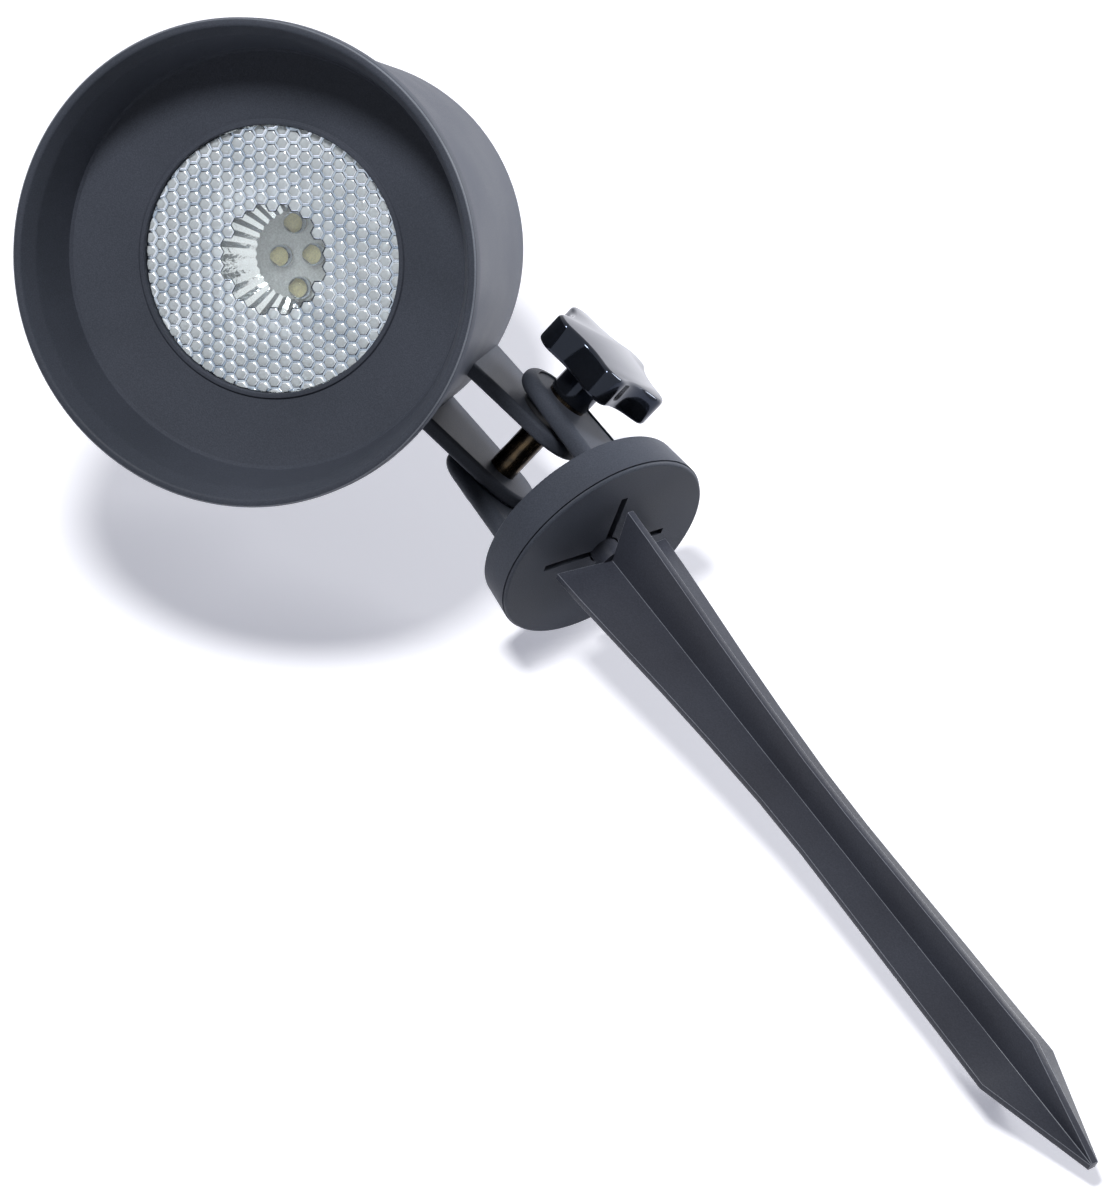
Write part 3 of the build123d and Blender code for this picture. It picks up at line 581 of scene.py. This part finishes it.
for wide, thick in ((TENON_R, TENON_T / 2), (TENON_T / 2, TENON_R)):
    bpy.ops.object.select_all(action="DESELECT")
    bpy.ops.mesh.primitive_cube_add(size=2 * MM, location=(0, 0, (TENON_LOW + TENON_TOP) / 2 * MM))
    blade = bpy.context.object
    blade.scale = (wide, thick, (TENON_TOP - TENON_LOW) / 2)
    bpy.ops.object.transform_apply(location=True, scale=True)
    blade.data.materials.append(spike_plastic)
    rounded(blade, BLADE_EDGE, 1)
    parts.append(blade)
spike = settle(joined("spike_body", parts), Matrix.Rotation(FIN_ANGLE, 4, "Z"), 30)
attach(spike, "base")
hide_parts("spike")

# ---------------------------------------------------------------------------
# Star knob: polished black nylon, moulded round a brass insert. Five lobes
# between round scallops, and a hub that bears on the washer.
STAR_R, SCALLOP_R, SCALLOP_AT, LOBES, LOBE_TURN = 21.8, 15.0, 31.4, 5, math.radians(226)
STAR_IN, STAR_OUT, STAR_EDGE, STAR_SIDES, STAR_SMOOTH = 30.6, 40.8, 1.4, 240, 18
HUB_IN, HUB_R, INSERT_R, CAVITY_OUT = 21.0, 6.9, 5.03, 38.5
COLLAR_R, COLLAR_T, HUB_FILLET = 8.9, 0.6, 1.3
knob_place = Matrix.Translation((0, 0, TILT_AXIS_Z)) @ Matrix(
    ((0, 0, 1), (1, 0, 0), (0, 1, 0))).to_4x4()
bpy.ops.object.select_all(action="DESELECT")
bpy.ops.mesh.primitive_circle_add(
    vertices=STAR_SIDES, radius=STAR_R * MM, fill_type="NGON", location=(0, 0, STAR_IN * MM))
star = bpy.context.object
bpy.ops.object.transform_apply(location=True)
for v in star.data.vertices:
    away = (math.atan2(v.co.y, v.co.x) - LOBE_TURN) % (2 * math.pi / LOBES) - math.pi / LOBES
    inward = SCALLOP_R ** 2 - (SCALLOP_AT * math.sin(away)) ** 2
    if inward > 0:
        fit = min(1, (SCALLOP_AT * math.cos(away) - math.sqrt(inward)) / STAR_R)
        v.co.x *= fit
        v.co.y *= fit
bpy.ops.object.mode_set(mode="EDIT")
bpy.ops.mesh.select_all(action="SELECT")
bpy.ops.mesh.vertices_smooth(factor=0.5, repeat=STAR_SMOOTH)
bpy.ops.mesh.extrude_region_move(TRANSFORM_OT_translate={"value": (0, 0, (STAR_OUT - STAR_IN) * MM)})
bpy.ops.mesh.select_all(action="SELECT")
bpy.ops.mesh.normals_make_consistent(inside=False)
bpy.ops.object.mode_set(mode="OBJECT")
rounded(star, STAR_EDGE, 4, 60)
cut_away(star, rod("cavity", INSERT_R, HUB_IN, CAVITY_OUT))
hub = turned("knob_hub", soften([
    (HUB_IN, INSERT_R, 0), (HUB_IN, HUB_R, 0.5), (STAR_IN, HUB_R, HUB_FILLET),
    (STAR_IN, COLLAR_R, 0), (STAR_IN + COLLAR_T, COLLAR_R, 0),
    (STAR_IN + COLLAR_T, INSERT_R, 0)], steps=5), 64)
knob = settle(joined("star_knob_body", [star, hub]), knob_place, 32)
# Near black, and so smooth that it shows the room as cool streaks along its lobes.
knob_plastic = moulded("nylon moulded polished black", "#0e1013", "#15171b", 0.9, 0.1, 0.04)
knob_shader = knob_plastic.node_tree.nodes["Principled BSDF"]
knob_shader.inputs["Specular Tint"].default_value = linear("#c4d2f2")
knob.data.materials.append(knob_plastic)
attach(knob, "knob")
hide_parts("star_knob")

# ---------------------------------------------------------------------------
# Fasteners, washers and spacer: turned and pressed metal, zinc plated or
# blackened, and one plastic washer. They keep the shapes of the solids.

# Zinc: a pale grey with a soft gleam and small patches.
zinc_steel = metal("steel zinc plated", "#b9bcbb", "#a5a9a6", 0.3, 0.5, 0.12)
# Drawn tube under a thin brownish black: fine streaks along it, bright on one side.
black_steel = metal("steel drawn and blackened", "#5a4d3c", "#35312c", 0.24, 0.35, 0.15, (0.15, 1, 1))
# Turned brass: warm yellow, with fine streaks.
insert_brass = metal("brass turned", "#c9a95c", "#b8964a", 0.28, 0.4, 0.1, (0.2, 1, 1))
# Acetal: black, with the soap-like gloss of a slide washer.
slide_plastic = moulded("acetal moulded black", "#1b1b1d", "#252528", 0.6, 0.35, 0.1)
dress(zinc_steel, "pivot_bolt", "spike_screw", "spike_washer", "cowl_screw_1", "cowl_screw_2",
      "cowl_screw_3")
dress(black_steel, "spacer_tube", "knob_washer")
dress(insert_brass, "knob_insert")
dress(slide_plastic, "friction_washer")

# ---------------------------------------------------------------------------
# Seals and gland: rubber rings at the lens, the shell and the cord, and a nylon
# gland that is screwed through the middle of the drum's back.

# Rubber: black without shine, a little dusty.
seal_rubber = moulded("rubber moulded black", "#1d1d1f", "#29292b", 0.7, 0.75, 0.4)
# Nylon: black with a dull, even sheen.
gland_nylon = moulded("nylon moulded black", "#232427", "#2e2f33", 0.6, 0.5, 0.3)
dress(seal_rubber, "housing_seal", "lens_gasket", "gland_seal")
dress(gland_nylon, "gland_body", "gland_cap", "gland_lock_nut")

# ---------------------------------------------------------------------------
# Heat sink, driver and leads: inside the closed head, screwed or soldered in
# place. They keep the shapes of the solids.

# Die-cast alloy: dull light grey with the flow marks of the casting.
sink_alloy = metal("aluminium die cast", "#b4b7ba", "#9fa3a6", 0.45, 0.8, 0.3)
# Glass epoxy under green mask: satin, with the weave as a fine grain.
board_green = moulded("glass epoxy laminated green", "#2f6b45", "#3b7a52", 0.45, 0.38, 0.3)
# Shrunk film: smooth dark blue.
film_blue = moulded("polyester film sleeve blue", "#2b3350", "#38415f", 2.0, 0.3, 0.1)
# Lacquered wire: copper brown, rough with its turns.
wire_copper = moulded("copper winding lacquered", "#8c4f2c", "#a8663b", 0.5, 0.35, 0.8)
# Polyamide: the pale green of terminal blocks, half matt.
block_green = moulded("polyamide moulded pale green", "#5f9a78", "#6aa683", 0.6, 0.45, 0.2)
# Silicone sheaths: soft sheen, one red and one black.
sheath_red = moulded("silicone sheath red", "#a8302a", "#b43c34", 0.6, 0.4, 0.2)
sheath_black = moulded("silicone sheath black", "#1e1f21", "#2a2b2e", 0.6, 0.4, 0.2)
dress(sink_alloy, "heat_sink")
dress(board_green, "driver_board")
dress(film_blue, "driver_capacitor")
dress(wire_copper, "driver_coil")
dress(block_green, "terminal_block")
dress(sheath_red, "led_lead_positive")
dress(sheath_black, "led_lead_negative")

# ---------------------------------------------------------------------------
# Table and light: the lamp lies on a white table, on the flange's edge and the
# spike's tip. Its underside is see-through, so that the lamp's back stays in view.
table_up = Vector((0.6076, -0.7836, 0.1286)).normalized()
TABLE_GAP, TABLE_SIZE = 0.0003, 6
TABLE_GLOW, MIRROR_GLOW, TABLE_GRAIN_MM = 0.4, 0.7, 2.5
lowest = min(table_up.dot(v.co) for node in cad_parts.values() for v in node.data.vertices)
# White laminate: matt and even. Its glow makes it white to the camera and in
# mirrors without more light on the lamp, and it still takes the lamp's shadow.
sheet, tree, shader = new_material("table white laminate")
place = add(tree, "ShaderNodeTexCoord").outputs["Object"]
speckle = add(tree, "ShaderNodeTexNoise", {"Scale": 1 / (TABLE_GRAIN_MM * MM), "Detail": 2.0},
              {"Vector": place})
paper = add(tree, "ShaderNodeMapRange", {"To Min": 0.55, "To Max": 0.65},
            {"Value": speckle.outputs["Fac"]})
tree.links.new(paper.outputs["Result"], shader.inputs["Roughness"])
shader.inputs["Base Color"].default_value = linear("#f1f1f4")
shader.inputs["Specular IOR Level"].default_value = 0.2
rays = add(tree, "ShaderNodeLightPath")
shiny = add(tree, "ShaderNodeMath", {"operation": "MAXIMUM"},
            {0: rays.outputs["Is Glossy Ray"], 1: rays.outputs["Is Transmission Ray"]})
to_camera = add(tree, "ShaderNodeMath", {"operation": "MULTIPLY", 1: TABLE_GLOW},
                {0: rays.outputs["Is Camera Ray"]})
strength = add(tree, "ShaderNodeMath", {"operation": "MULTIPLY_ADD", 1: MIRROR_GLOW},
               {0: shiny.outputs[0], 2: to_camera.outputs[0]})
seen = add(tree, "ShaderNodeEmission", {"Color": linear("#eef0ff")},
           {"Strength": strength.outputs[0]})
lit = add(tree, "ShaderNodeAddShader", joins={0: shader.outputs[0], 1: seen.outputs[0]})
through = add(tree, "ShaderNodeBsdfTransparent")
side = add(tree, "ShaderNodeNewGeometry")
both = add(tree, "ShaderNodeMixShader", joins={0: side.outputs["Backfacing"],
           1: lit.outputs[0], 2: through.outputs[0]})
tree.links.new(both.outputs[0], tree.nodes["Material Output"].inputs["Surface"])
bpy.ops.object.select_all(action="DESELECT")
bpy.ops.mesh.primitive_plane_add(size=TABLE_SIZE)
table = bpy.context.object
table.name = "table"
table_turn = table_up.to_track_quat("Z", "Y").to_matrix().to_4x4()
table.matrix_world = Matrix.Translation(table_up * (lowest - TABLE_GAP)) @ table_turn
table.data.materials.append(sheet)

# Places are right, up and towards the camera from the lamp's middle, in metres.
LAMPS = (("lamp over the table", (-0.165, 0.627, 0.891), 0.22, 11.0),
         ("softbox low at the right", (0.75, 0.5, -0.08), 0.4, 8.0))
middle = (cad_low + cad_high) / 2
for name, (right, up, back), size, watts in LAMPS:
    bpy.ops.object.select_all(action="DESELECT")
    bpy.ops.object.light_add(type="AREA")
    lamp = bpy.context.object
    lamp.name = name
    lamp.data.shape = "DISK"
    lamp.data.size = size
    lamp.data.energy = watts
    away = look_right * right + look_up * up + look_back * back
    lamp_turn = away.to_track_quat("Z", "Y").to_matrix().to_4x4()
    lamp.matrix_world = Matrix.Translation(middle + away) @ lamp_turn

# The room: dim on the lamp, and white to the camera, in mirrors and through glass.
ROOM_LEVEL = 0.09
world = bpy.data.worlds.new("studio")
bpy.context.scene.world = world
world.use_nodes = True
tree = world.node_tree
rays = add(tree, "ShaderNodeLightPath")
room = tree.nodes["Background"]
room.inputs["Color"].default_value = linear("#eef0f4")
room.inputs["Strength"].default_value = ROOM_LEVEL
white = add(tree, "ShaderNodeBackground", {"Color": linear("#ffffff"), "Strength": 1.0})
shiny = add(tree, "ShaderNodeMath", {"operation": "MAXIMUM"},
            {0: rays.outputs["Is Glossy Ray"], 1: rays.outputs["Is Transmission Ray"]})
any_look = add(tree, "ShaderNodeMath", {"operation": "MAXIMUM"},
               {0: rays.outputs["Is Camera Ray"], 1: shiny.outputs[0]})
pick_white = add(tree, "ShaderNodeMixShader", joins={0: any_look.outputs[0],
                 1: room.outputs[0], 2: white.outputs[0]})
tree.links.new(pick_white.outputs[0], tree.nodes["World Output"].inputs["Surface"])
bpy.context.scene.view_settings.view_transform = "Standard"
